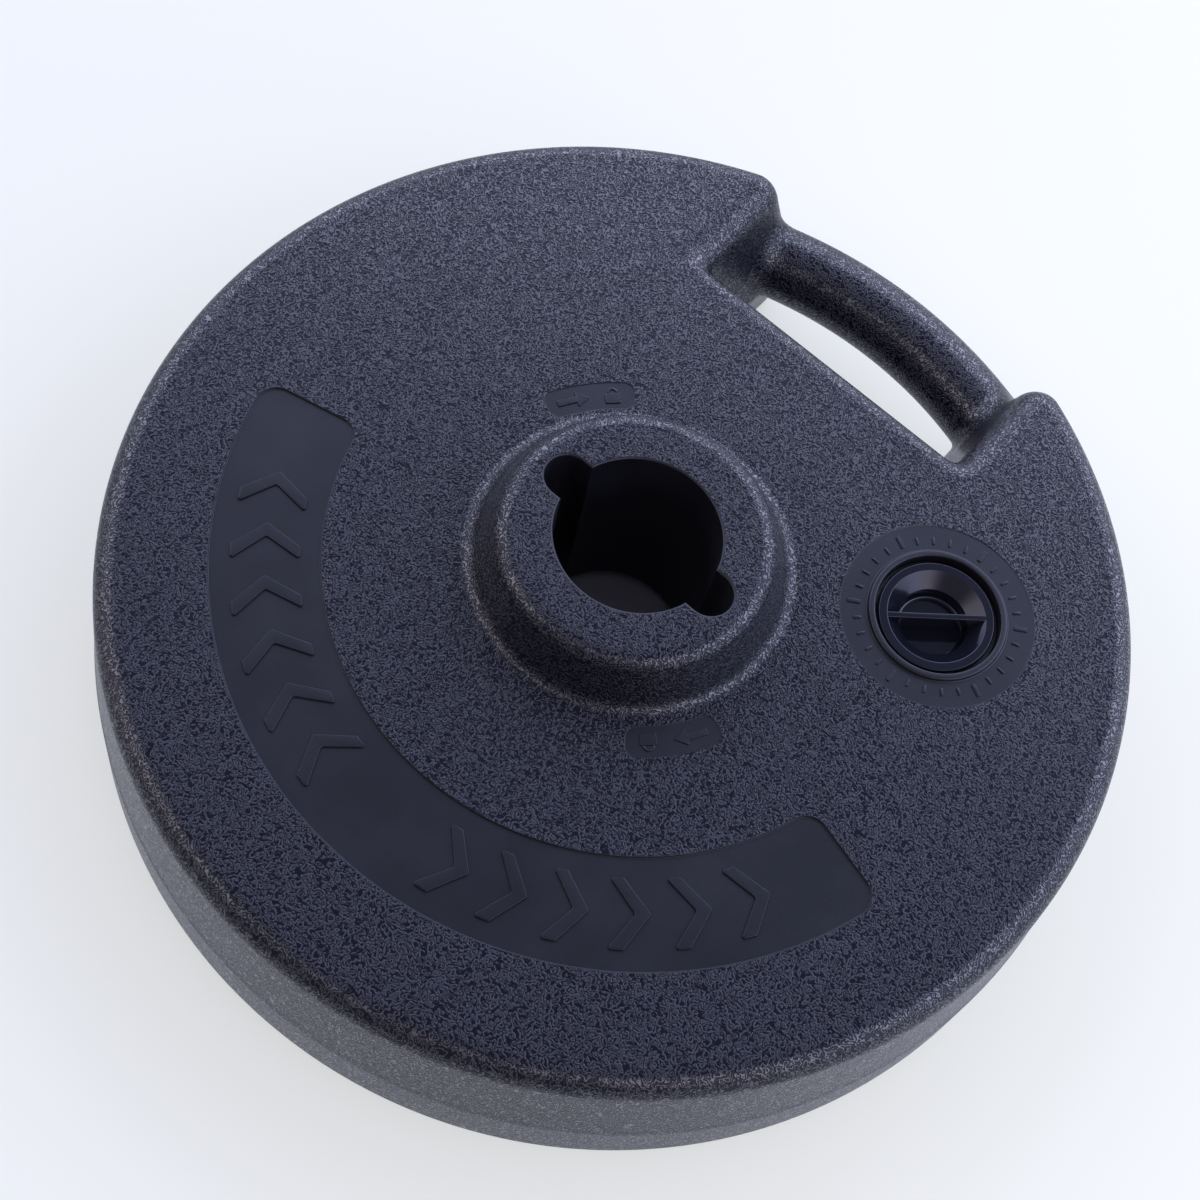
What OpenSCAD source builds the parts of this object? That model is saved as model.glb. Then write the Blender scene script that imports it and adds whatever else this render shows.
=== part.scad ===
// Fillable base for a banner stand: a blow moulded tank with a hub and socket in its middle,
// a carrying grip in its rim, and a screw plug on a seal over the fill neck.
// Units are millimetres. The origin is the middle of the underside, and the grip is toward +Y.

/* [Drum] */
// Diameter across the foot
base_d = 382; // [360:1:400]
// Height of the deck
deck_h = 76.5; // [72:0.5:84]
// Diameter at which the side wall would meet the deck
deck_d = 369; // [350:1:372]
// Height of the parting ledge on the side wall
parting_h = 28; // [20:1:36]
// Step of the parting ledge
ledge_w = 0.8; // [0.3:0.1:1.5]
// Rounding between the deck and the side wall
edge_r = 9; // [4:0.5:12]
// Rounding at the outside of the foot
foot_r = 3; // [1:0.5:4]
// Width of the foot ring
foot_w = 39; // [25:1:50]
// Height of the middle panel above the foot
panel_h = 5; // [3:0.5:8]
// Thickness of the moulded wall
wall_t = 3; // [2:0.1:3.4]

/* [Hub] */
// Height of the hub's top
hub_h = 98.3; // [94:0.1:106]
// Diameter at which the hub's side would meet its top
hub_d = 95.4; // [93:0.1:104]
// Draft of the hub's side, in degrees
hub_draft = 22; // [14:1:26]
// Rounding at the hub's top edge
hub_r = 7; // [3:0.5:8]
// Rounding where the hub meets the deck
hub_base_r = 6.5; // [3:0.5:9]

/* [Socket] */
// Diameter of the socket
socket_d = 58.7; // [50:0.1:60]
// Bevel at the socket's lower mouth
mouth_bevel = 2; // [0.5:0.5:3]
// Bevel at the socket's top edge
lip_bevel = 0.8; // [0.4:0.1:1.5]
// Width of each keyway
keyway_w = 16.4; // [12:0.2:18]
// Distance from the socket's axis to the end of a keyway
keyway_reach = 40.4; // [38:0.1:41]

/* [Grip] */
// Distance from the socket's axis to the straight wall of the hand gap
gap_y = 118.5; // [112:0.5:125]
// Width of the hand gap at the parting ledge
gap_w = 102; // [90:0.5:108]
// Draft of the gap's ends above the ledge, in degrees
gap_draft = 14.1; // [4:0.1:20]
// Draft of the gap's ends below the ledge, in degrees
gap_low_draft = 8; // [0.5:0.5:10]
// Rounding between the deck and the gap's straight wall
gap_r = 8; // [4:0.5:10]
// Diameter of the grip bar
bar_d = 30; // [26:0.5:34]
// Distance of the grip bar inside the outside of the foot
bar_inset = 1; // [0.5:0.1:4]
// Height of the middle of the grip bar
bar_h = 35.5; // [30:0.5:40]

/* [Deck markings] */
// Inner radius of the name band
band_in_r = 107.6; // [98:0.2:112]
// Outer radius of the name band
band_out_r = 146.5; // [130:0.5:152]
// Half of the angle that the name band covers
band_half_a = 75.6; // [50:0.2:80]
// Rounding of the name band's corners
band_corner_r = 8; // [3:0.5:12]
// Depth of the name band
band_deep = 0.8; // [0.3:0.1:1.2]
// Inner radius of the smooth pads by the hub
pad_in_r = 62; // [61.5:0.1:63]
// Outer radius of the smooth pads by the hub
pad_out_r = 73.5; // [70:0.5:76]
// Half of the angle that each pad by the hub covers
pad_half_a = 14.2; // [10:0.2:18]
// Angle of the first pad round the hub
pad_a = 143; // [135:1:150]
// Rounding of the pads' corners
pad_corner_r = 4; // [2:0.5:5]
// Depth of the smooth pads
pad_deep = 0.3; // [0.2:0.1:0.6]

/* [Fill neck] */
// Angle of the fill neck round the socket
neck_a = 33.2; // [28:0.2:40]
// Distance from the socket's axis to the fill neck
neck_path_r = 111.5; // [106:0.5:116]
// Diameter of the smooth pad round the neck
neck_pad_d = 71.5; // [64:0.5:74]
// Outer diameter of the raised lip
lip_d = 50.6; // [49:0.1:54]
// Height of the raised lip above the pad
lip_h = 1.6; // [0.8:0.1:2.4]
// Diameter of the mouth inside the lip
mouth_d = 45.8; // [44.6:0.1:46]
// Depth of the seat below the deck
seat_deep = 3.9; // [3.6:0.1:5]
// Diameter of the neck below its seat
neck_d = 38.4; // [38:0.1:39]
// Length of the neck below its seat
neck_l = 16; // [14:0.5:20]

/* [Plug] */
// Diameter of the plug's head
head_d = 42.8; // [42:0.1:43.6]
// Thickness of the plug's head at its rim
head_t = 1.7; // [1.4:0.1:2.4]
// Running clearance between the plug's shank and the neck
shank_gap = 0.8; // [0.5:0.1:1]
// Length of the shank below the head
shank_l = 14.8; // [13:0.1:16]
// Diameter of the cup at the plug's face
cup_d = 36.2; // [34:0.1:37]
// Diameter of the cup below its bevelled edge
cup_floor_d = 25.4; // [22:0.1:28]
// Depth of the cup's bevelled edge
cup_bevel_deep = 5.2; // [3:0.1:6]
// Depth of the cup
cup_deep = 10.4; // [8:0.1:11]
// Thickness of the finger bar across the cup
finger_t = 2.2; // [1.6:0.1:3]
// Angle of the finger bar
finger_a = 41.3; // [0:0.1:180]
// Thickness of the plug's walls
plug_t = 2.2; // [1.6:0.1:2.6]

/* [Seal] */
// Thickness of the seal
seal_t = 1.2; // [0.8:0.1:1.6]
// Clearance round and under the seal
seal_gap = 0.1; // [0.05:0.05:0.2]

/* [Hidden] */
$fn = 96;
past = 5;
far = 60;
over = 0.02;
base_r = base_d / 2;
deck_r = deck_d / 2;
socket_r = socket_d / 2;
draft_x = tan(hub_draft);
gap_x = tan(gap_draft);
gap_low_x = tan(gap_low_draft);
bar_path_r = base_r - bar_inset - bar_d / 2;
bar_top_x = gap_w / 2 + gap_x * (bar_h + bar_d / 2 - parting_h);
bar_half_a = asin((bar_top_x + 3 * wall_t) / bar_path_r);
neck_x = neck_path_r * cos(neck_a);
neck_y = neck_path_r * sin(neck_a);
seat_z = deck_h - seat_deep;
seal_z = seat_z + seal_gap;
head_z = seal_z + seal_t + seal_gap;
face_z = head_z + head_t;
shank_r = neck_d / 2 - shank_gap;
shank_z = head_z - shank_l;
cup_z = face_z - cup_deep;

// Rounded outlines: a point is [across, up, radius of its corner], in counterclockwise order.
function spot(q) = [q[0], q[1]];
function before(p, i) = spot(p[(i + len(p) - 1) % len(p)]);
function after(p, i) = spot(p[(i + 1) % len(p)]);
function along(a, b) = (b - a) / norm(b - a);
function turns(p, i) = cross(spot(p[i]) - before(p, i), after(p, i) - spot(p[i]));
function corner_reach(p, i) =
    p[i][2] / tan(acos(along(spot(p[i]), before(p, i)) * along(spot(p[i]), after(p, i))) / 2);
function corner_ends(p, i) = [
    spot(p[i]) + along(spot(p[i]), before(p, i)) * corner_reach(p, i),
    spot(p[i]) + along(spot(p[i]), after(p, i)) * corner_reach(p, i)];
function corner_mid(p, i) =
    let (e = corner_ends(p, i), m = (e[0] + e[1]) / 2)
    spot(p[i]) + along(spot(p[i]), m) * norm([corner_reach(p, i), p[i][2]]);
function webbed(p) = [for (i = [0:len(p) - 1]) each
    p[i][2] > 0 && turns(p, i) < 0 ? corner_ends(p, i) : [spot(p[i])]];

// What a round corner leaves off a sharp one
module corner_waste(p, i) {
    e = corner_ends(p, i);
    m = corner_mid(p, i);
    difference() {
        polygon([e[0], m + (spot(p[i]) - m) * 1.3, e[1], m]);
        translate(m) circle(r = p[i][2]);
    }
}

// Outline with true arcs at its outer and inner corners
module outline(p) {
    difference() {
        polygon(webbed(p));
        for (i = [0:len(p) - 1])
            if (p[i][2] > 0 && turns(p, i) > 0)
                corner_waste(p, i);
            else if (p[i][2] > 0)
                translate(corner_mid(p, i)) circle(r = p[i][2]);
    }
}

// Side wall's radius at a height, above the parting ledge
function side_r(z) =
    let (low = [base_r - 2 * ledge_w - 0.4, parting_h + 3 * ledge_w], high = [deck_r, deck_h])
    low[0] + (high[0] - low[0]) * (z - low[1]) / (high[1] - low[1]);

// Half section of the drum and its hub, grown inward by a wall
module drum_section(t) {
    foot_in = base_r - foot_w;
    hub_foot_r = hub_d / 2 + (hub_h - deck_h) * draft_x;
    side_t = t / cos(hub_draft);
    outline([
        [0, panel_h + t, 0],
        [foot_in - 4 + t / 2, panel_h + t, max(4 - t, 1)],
        [foot_in + t / 2, t, 2 + t],
        [base_r - t, t, max(foot_r - t, foot_r / 2)],
        [base_r - ledge_w - 0.4 - t, parting_h, 0],
        [side_r(parting_h + 3 * ledge_w) - t, parting_h + 3 * ledge_w, 0],
        [deck_r - t, deck_h - t, edge_r - t],
        [hub_foot_r - side_t + t * draft_x, deck_h - t, hub_base_r + t],
        [hub_d / 2 - side_t + t * draft_x, hub_h - t, hub_r - t],
        [0, hub_h - t, 0]]);
}

// Space of the hand gap between its two ends, grown outward by a wall
module gap_ends(t) {
    knee_x = gap_w / 2 + t;
    low_x = knee_x + gap_low_x * (parting_h + past);
    top_x = knee_x + gap_x * (deck_h - parting_h);
    outline([
        [-low_x, -past, 0],
        [low_x, -past, 0],
        [knee_x, parting_h, 0],
        [top_x, deck_h - t, edge_r - t],
        [top_x + far, deck_h - t, 0],
        [top_x + far, deck_h + past, 0],
        [-top_x - far, deck_h + past, 0],
        [-top_x - far, deck_h - t, 0],
        [-top_x, deck_h - t, edge_r - t],
        [-knee_x, parting_h, 0]]);
}

// Space of the hand gap beyond its straight wall, grown outward by a wall
module gap_wall(t) {
    outline([
        [gap_y - t, -past, 0],
        [base_r + far, -past, 0],
        [base_r + far, deck_h + past, 0],
        [gap_y - far, deck_h + past, 0],
        [gap_y - far, deck_h - t, 0],
        [gap_y - t, deck_h - t, gap_r - t]]);
}

module hand_gap(t) {
    intersection() {
        translate([0, base_r + far, 0]) rotate([90, 0, 0])
            linear_extrude(base_r + far) gap_ends(t);
        rotate([90, 0, 90]) translate([0, 0, -base_r])
            linear_extrude(base_d) gap_wall(t);
    }
}

// Arc of a round bar that follows the rim
module rim_bar(d) {
    rotate([0, 0, 90 - bar_half_a]) rotate_extrude(angle = 2 * bar_half_a)
        translate([bar_path_r, bar_h]) circle(d = d);
}

// Socket with its two keyways, grown outward by a wall
module socket_plan(t) {
    slot_r = keyway_w / 2 + t;
    slot_x = keyway_reach - keyway_w / 2;
    circle(r = socket_r + t);
    square([2 * slot_x, 2 * slot_r], center = true);
    for (side = [-1, 1]) translate([side * slot_x, 0]) circle(r = slot_r);
}

module socket_hole() {
    translate([0, 0, -past]) linear_extrude(hub_h + 2 * past) socket_plan(0);
    translate([0, 0, panel_h - past])
        cylinder(r1 = socket_r + mouth_bevel + past, r2 = socket_r, h = mouth_bevel + past);
    translate([0, 0, hub_h - lip_bevel])
        cylinder(r1 = socket_r, r2 = socket_r + lip_bevel + past, h = lip_bevel + past);
}

// Arc shaped plan with round corners, standing on a middle angle
module arc_plan(in_r, out_r, half_a, corner_r, mid_a) {
    reach = out_r * 2;
    rotate(mid_a) difference() {
        circle(r = out_r);
        circle(r = in_r);
        polygon([[0, 0], for (k = [-3:3]) let (a = k * (180 - half_a) / 3) -reach * [cos(a), sin(a)]]);
        for (side = [0, 1]) mirror([0, side]) {
            arc_corner(in_r, 1, half_a, corner_r);
            arc_corner(out_r, -1, half_a, corner_r);
        }
    }
}

// What a round corner leaves off the sharp one between an arc and its radial end. Its circle
// stands a hair over both edges, so that it crosses them cleanly.
module arc_corner(arc_r, way, half_a, corner_r) {
    mid_r = arc_r + way * (corner_r - over);
    a = half_a - asin((corner_r - over) / mid_r);
    m = mid_r * [cos(a), sin(a)];
    to_arc = -way * 2 * corner_r * [cos(a), sin(a)];
    to_end = 2 * corner_r * [-sin(half_a), cos(half_a)];
    difference() {
        polygon([m, m + to_arc, m + to_arc + to_end, m + to_end]);
        translate(m) circle(r = corner_r);
    }
}

module deck_markings() {
    translate([0, 0, deck_h - band_deep]) linear_extrude(band_deep + past)
        arc_plan(band_in_r, band_out_r, band_half_a, band_corner_r, -90);
    for (turn = [0, 180])
        translate([0, 0, deck_h - pad_deep]) linear_extrude(pad_deep + past)
            arc_plan(pad_in_r, pad_out_r, pad_half_a, pad_corner_r, pad_a + turn);
}

// Solid of the fill neck: its raised lip, its seat and the tube that hangs into the tank
module neck_body() {
    translate([neck_x, neck_y, 0]) rotate_extrude()
        outline([
            [0, seat_z - neck_l, 0],
            [neck_d / 2 + wall_t, seat_z - neck_l, 1],
            [neck_d / 2 + wall_t, seat_z - 2 * wall_t, 1.5],
            [mouth_d / 2 + wall_t, seat_z - wall_t, 1.5],
            [mouth_d / 2 + wall_t, deck_h - wall_t / 2, 0],
            [lip_d / 2, deck_h - wall_t / 2, 0],
            [lip_d / 2, deck_h + lip_h - pad_deep, 1.1],
            [0, deck_h + lip_h - pad_deep, 0]]);
}

module neck_hole() {
    translate([neck_x, neck_y, seat_z - neck_l - past]) cylinder(d = neck_d, h = neck_l + 2 * past);
    translate([neck_x, neck_y, seat_z]) cylinder(d = mouth_d, h = seat_deep + far);
}

// Smooth pad sunk round the lip
module neck_pad() {
    translate([neck_x, neck_y, deck_h - pad_deep]) difference() {
        cylinder(d = neck_pad_d, h = pad_deep + past);
        translate([0, 0, -past]) cylinder(d = lip_d, h = pad_deep + 3 * past);
    }
}

// Hollow of the tank: inside the walls, clear of the socket, the hand gap and the neck
module tank_hollow() {
    difference() {
        rotate_extrude() drum_section(wall_t);
        translate([0, 0, -past]) linear_extrude(hub_h + 2 * past) socket_plan(wall_t);
        hand_gap(wall_t);
        neck_body();
    }
}

module base_shell() {
    color("#26262b")
    difference() {
        union() {
            difference() {
                rotate_extrude() drum_section(0);
                hand_gap(0);
                deck_markings();
                neck_pad();
            }
            intersection() {
                rim_bar(bar_d);
                hand_gap(wall_t / 2);
            }
            neck_body();
        }
        tank_hollow();
        rim_bar(bar_d - 2 * wall_t);
        socket_hole();
        neck_hole();
    }
}

// Screw plug: a head, a hollow shank and a cup with a finger bar across it
module fill_plug() {
    color("#131316") translate([neck_x, neck_y, 0]) {
        rotate_extrude()
            outline([
                [0, cup_z - plug_t, 0],
                [shank_r - plug_t, cup_z - plug_t, 1],
                [shank_r - plug_t, shank_z, 0],
                [shank_r, shank_z, 1],
                [shank_r, head_z, 0],
                [head_d / 2, head_z, 0.4],
                [head_d / 2, face_z, 0.9],
                [cup_d / 2, face_z, 0.5],
                [cup_floor_d / 2, face_z - cup_bevel_deep, 0.6],
                [cup_floor_d / 2, cup_z, 2],
                [0, cup_z, 0]]);
        intersection() {
            rotate([0, 0, finger_a]) translate([-cup_d / 2, -finger_t / 2, cup_z - plug_t / 2])
                cube([cup_d, finger_t, cup_deep + plug_t / 2]);
            translate([0, 0, cup_z - plug_t]) cylinder(d = cup_d + 1, h = cup_deep + plug_t);
        }
    }
}

// Flat seal between the plug's head and the neck's seat
module plug_seal() {
    color("#1b1b1b") translate([neck_x, neck_y, seal_z]) difference() {
        cylinder(r = head_d / 2, h = seal_t);
        translate([0, 0, -past]) cylinder(r = shank_r + seal_gap, h = seal_t + 2 * past);
    }
}

base_shell();
fill_plug();
plug_seal();
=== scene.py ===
import bmesh
import bpy
import numpy as np
from math import acos, asin, atan, atan2, cos, degrees, hypot, pi, radians, sin, sqrt, tan
from mathutils import Matrix
from mathutils.geometry import tessellate_polygon


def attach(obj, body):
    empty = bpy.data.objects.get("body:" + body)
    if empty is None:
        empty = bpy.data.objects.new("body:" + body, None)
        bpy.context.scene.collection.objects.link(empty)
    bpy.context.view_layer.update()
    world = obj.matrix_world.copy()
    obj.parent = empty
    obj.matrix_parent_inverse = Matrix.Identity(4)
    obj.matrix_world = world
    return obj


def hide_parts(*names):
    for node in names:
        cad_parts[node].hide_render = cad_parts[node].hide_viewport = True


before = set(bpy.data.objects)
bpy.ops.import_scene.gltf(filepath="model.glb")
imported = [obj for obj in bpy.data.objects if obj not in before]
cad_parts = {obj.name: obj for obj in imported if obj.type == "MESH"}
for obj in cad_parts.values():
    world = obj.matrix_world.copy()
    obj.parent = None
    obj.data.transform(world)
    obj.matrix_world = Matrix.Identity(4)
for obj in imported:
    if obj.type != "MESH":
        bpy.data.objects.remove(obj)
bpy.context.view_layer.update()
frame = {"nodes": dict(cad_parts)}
mm = 0.001
print("frame loaded:", ", ".join(frame["nodes"]))

# Sizes are in millimetres and angles in degrees, counterclockwise from +X seen from above.
drum = {
    "footRadius": 191.0, "deckHeight": 76.5, "deckRadius": 184.5, "edgeRound": 9.0,
    "partingHeight": 28.0, "partingRise": 0.8, "partingRadius": 189.8, "ledge": 0.35, "footRound": 3.0,
    "footRingIn": 152.0, "panelRadius": 148.0, "panelHeight": 5.0,
    "wallRows": (66.0, 60.0, 52.0, 44.0, 38.0, 33.0, 31.2),
}
handGap = {
    "halfWidth": 51.0, "draft": 14.1, "lowDraft": 8.0, "wallY": 118.5, "wallRound": 8.0,
    "hornRound": 9.0, "hornLeast": 0.6, "cornerRound": 5.0, "recessRound": 1.5, "endRound": 12.0,
}
hub = {
    "top": 98.3, "topRadius": 47.7, "draft": 22.0, "edgeRound": 7.0, "baseRound": 6.5,
    "socketRadius": 29.35, "keyHalf": 8.2, "keyCentre": 32.2, "lipRound": 0.9, "mouthFlare": 2.0,
    "socketRows": (80, 60, 40, 20),
}
# The bar's ends: how far they flare over and under it, how long the flare is for its height, how
# much it hugs its corner, and how far the skin goes on inside the wall. The turn is in radians.
grip = {
    "pathRadius": 175.0, "barRadius": 15.0, "height": 35.5, "flareAbove": 8.0, "flareBelow": 1.0,
    "flareLength": 1.15, "hug": 0.8, "sunk": 1.2, "tipTurn": 0.02, "belowWall": 0.25,
}
band = {
    "inner": 107.6, "outer": 146.5, "halfAngle": 75.6, "corner": 8.0, "deep": 0.8, "middle": -90.0,
    "soft": 0.35,
}
chevron = {
    "count": 6, "firstAngle": 14.0, "step": 9.2, "halfTall": 12.0, "reach": 9.0, "stroke": 5.25,
    "high": 0.75, "tipRound": 0.8, "bendRound": 1.0, "soft": 0.25,
}
lockPad = {
    "inner": 62.0, "outer": 73.5, "halfAngle": 14.2, "corner": 4.0, "deep": 0.3, "middle": 143.0,
    "soft": 0.2,
}
# Marks on a lock pad, along it and outward from its middle line
lockSign = {
    "arrowTail": 12.5, "arrowNeck": 5.1, "arrowTip": 0.1, "shaftHalf": 1.3, "headHalf": 3.2,
    "round": 0.3, "tipRound": 0.4, "bodyLeft": -11.5, "bodyRight": -5.5, "bodyLow": -3.2,
    "bodyTop": 1.2, "bodyRound": 0.5, "shackleOut": 2.2, "shackleIn": 1.3, "high": 0.4, "soft": 0.15,
}
neck = {
    "angle": 33.2, "distance": 111.5, "padRadius": 35.75, "padDeep": 0.3, "lipRadius": 25.3,
    "lipTop": 77.8, "mouthRadius": 22.9, "seat": 72.6, "boreRadius": 19.2, "bottom": 56.6, "wall": 3.0,
    "padSlope": 0.35, "lipSlope": 0.3, "wellRadius": 34.0, "wellTop": 71.0, "wellLow": 9.0,
    "threadLow": 58.5, "threadTop": 70.5,
}
dial = {
    "ticks": 30, "longEach": 5, "start": 28.0, "short": 3.0, "shortHalf": 0.5, "long": 5.0,
    "longHalf": 0.75, "round": 0.4, "high": 0.45, "soft": 0.2,
}
plug = {
    "headRadius": 21.4, "headLow": 74.0, "face": 75.7, "shankRadius": 18.4, "shankLow": 59.2,
    "cupRadius": 18.1, "floorRadius": 12.7, "coneLow": 70.5, "cupFloor": 65.3, "wall": 2.2,
    "barAngle": 41.3, "barHalfLength": 18.7, "barHalfWidth": 1.1, "barRound": 0.5, "barSoft": 0.35,
    "barBelowFace": 0.05, "threadLow": 60.5, "threadTop": 72.5,
}
thread = {"pitch": 4.0, "deep": 0.55, "halfWidth": 0.9, "sunk": 0.12, "endTurns": 0.2}
neckX = neck["distance"] * cos(radians(neck["angle"]))
neckY = neck["distance"] * sin(radians(neck["angle"]))
deck = drum["deckHeight"]
weldWithin, leastEdge, sharpFrom = 0.003, 0.001, 38


# Gathers surfaces in millimetres, each with its finish, and welds them into one closed mesh
class Skin:
    def __init__(self):
        self.points, self.faces, self.finishes, self.count = [], [], [], 0

    def keep(self, points, faces, finish):
        faces = np.asarray(faces) + self.count
        self.points.append(np.asarray(points, float))
        self.faces += faces.tolist()
        self.finishes += [finish] * len(faces)
        self.count += len(points)

    # Rows of points, one after another, joined by quads; each row closes on itself if ring is set
    def grid(self, rows, finish, ring=True):
        high, wide = rows.shape[:2]
        index = np.arange(high * wide).reshape(high, wide)
        if ring:
            index = np.concatenate([index, index[:, :1]], 1)
        quads = np.stack([index[:-1, :-1], index[:-1, 1:], index[1:, 1:], index[1:, :-1]], -1)
        self.keep(rows.reshape(-1, 3), quads.reshape(-1, 4), finish)

    # A level face inside the first loop and outside the others
    def flat(self, loops, finish):
        self.keep(np.concatenate(loops), tessellate_polygon([loop.tolist() for loop in loops]), finish)

    # Triangles from a loop to one point
    def cone(self, loop, tip, finish):
        n = len(loop)
        a = np.arange(n)
        faces = np.stack([a, (a + 1) % n, np.full(n, n)], -1)
        self.keep(np.concatenate([loop, [tip]]), faces, finish)

    def piece(self, name, finishes, body, replaced):
        mesh = bpy.data.meshes.new(name)
        mesh.from_pydata(np.concatenate(self.points) * mm, [], self.faces)
        mesh.polygons.foreach_set("material_index", self.finishes)
        for finish in finishes:
            mesh.materials.append(finish)
        work = bmesh.new()
        work.from_mesh(mesh)
        bmesh.ops.remove_doubles(work, verts=work.verts, dist=weldWithin * mm)
        bmesh.ops.dissolve_degenerate(work, edges=work.edges, dist=leastEdge * mm)
        bmesh.ops.recalc_face_normals(work, faces=work.faces)
        openEdges = sum(not e.is_manifold for e in work.edges)
        work.to_mesh(mesh)
        work.free()
        mesh.polygons.foreach_set("use_smooth", np.ones(len(mesh.polygons), bool))
        mesh.set_sharp_from_angle(angle=radians(sharpFrom))
        made = bpy.data.objects.new(name, mesh)
        bpy.context.scene.collection.objects.link(made)
        shading = made.modifiers.new("evenShading", "WEIGHTED_NORMAL")
        shading.keep_sharp = True
        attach(made, body)
        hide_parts(replaced)
        print("  %s: %d faces, %d open edges" % (name, len(mesh.polygons), openEdges))


# Points along an arc, from one angle to the other, in radians
def arcOf(x, y, r, start, end, n):
    a = np.linspace(start, end, n + 1)
    return np.column_stack([x + r * np.cos(a), y + r * np.sin(a)])


# A loop without points that repeat the one before
def tidyLoop(points):
    step = np.linalg.norm(points - np.roll(points, 1, 0), axis=1)
    return points[step > 0.005]


# Corners (across, up, radius) joined by straight lines, with an arc tangent to both at each corner
def rounded(corners, closed=False, step=11.0):
    out = []
    n = len(corners)
    for k, (x, z, r) in enumerate(corners):
        if r == 0 or (not closed and k in (0, n - 1)):
            out.append((x, z))
            continue
        here = np.array([x, z])
        back = np.array(corners[k - 1][:2]) - here
        on = np.array(corners[(k + 1) % n][:2]) - here
        back, on = back / hypot(*back), on / hypot(*on)
        half = acos(np.clip(back @ on, -1, 1)) / 2
        middle = here + (back + on) / hypot(*(back + on)) * r / sin(half)
        start = here + back * r / tan(half) - middle
        a = atan2(start[1], start[0])
        turn = (pi - 2 * half) * (-1 if back[0] * on[1] - back[1] * on[0] > 0 else 1)
        for s in np.linspace(0, 1, max(3, round(degrees(pi - 2 * half) / step) + 1)):
            out.append(tuple(middle + r * np.array([cos(a + turn * s), sin(a + turn * s)])))
    return np.array(out)


# A turned surface: each profile point (distance from the axis, height) goes round in a circle
def turned(profile, x=0.0, y=0.0, around=192):
    a = np.arange(around) * 2 * pi / around
    r, z = profile[:, 0, None], profile[:, 1, None]
    return np.stack([x + r * np.cos(a), y + r * np.sin(a), z + 0 * a], -1)


# A counterclockwise loop moved inward by each distance, along its own normals, to each height
def insetRows(loop, steps):
    ahead = np.roll(loop, -1, 0)[:, :2] - np.roll(loop, 1, 0)[:, :2]
    normal = np.stack([-ahead[:, 1], ahead[:, 0]], -1) / np.linalg.norm(ahead, axis=1)[:, None]
    rows = [np.column_stack([loop[:, :2] + normal * d, np.full(len(loop), z)]) for d, z in steps]
    return np.array(rows)


def spun(points, angle):
    c, s = cos(radians(angle)), sin(radians(angle))
    return points @ np.array([[c, s], [-s, c]])


def atHeight(points, z):
    return np.column_stack([points, np.full(len(points), z)])


# Plan of an arc shaped patch: an outer and an inner arc about the socket and four corner arcs
def arcPatch(shape):
    inner, outer, c, half = shape["inner"], shape["outer"], shape["corner"], radians(shape["halfAngle"])
    far, near = half - asin(c / (outer - c)), half - asin(c / (inner + c))
    dense = max(16, round(degrees(half) * 1.4))
    farX, farY = (outer - c) * cos(far), (outer - c) * sin(far)
    nearX, nearY = (inner + c) * cos(near), (inner + c) * sin(near)
    return tidyLoop(np.concatenate([
        arcOf(0, 0, outer, -far, far, dense),
        arcOf(farX, farY, c, far, half + pi / 2, 10),
        arcOf(nearX, nearY, c, half + pi / 2, near + pi, 10),
        arcOf(0, 0, inner, near, -near, dense),
        arcOf(nearX, -nearY, c, pi - near, 1.5 * pi - half, 10),
        arcOf(farX, -farY, c, -pi / 2 - half, -far, 10)]))


# Shader maths as Python expressions: a number on a socket, with its operators as Math nodes
class Num:
    def __init__(self, build, socket):
        self.build, self.socket = build, socket

    def math(self, kind, other=0.0, swap=False):
        pair = {0: other, 1: self} if swap else {0: self, 1: other}
        return self.build.node("ShaderNodeMath", {"operation": kind}, pair)

    def __add__(self, other):
        return self.math("ADD", other)

    __radd__ = __add__

    def __sub__(self, other):
        return self.math("SUBTRACT", other)

    def __rsub__(self, other):
        return self.math("SUBTRACT", other, True)

    def __mul__(self, other):
        return self.math("MULTIPLY", other)

    __rmul__ = __mul__

    # Goes smoothly from one value to the other while the number goes from low to high
    def ramp(self, low, high, toLow=0.0, toHigh=1.0):
        inputs = {0: self, 1: low, 2: high, 3: toLow, 4: toHigh}
        return self.build.node("ShaderNodeMapRange", {"interpolation_type": "SMOOTHSTEP"}, inputs)


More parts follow.
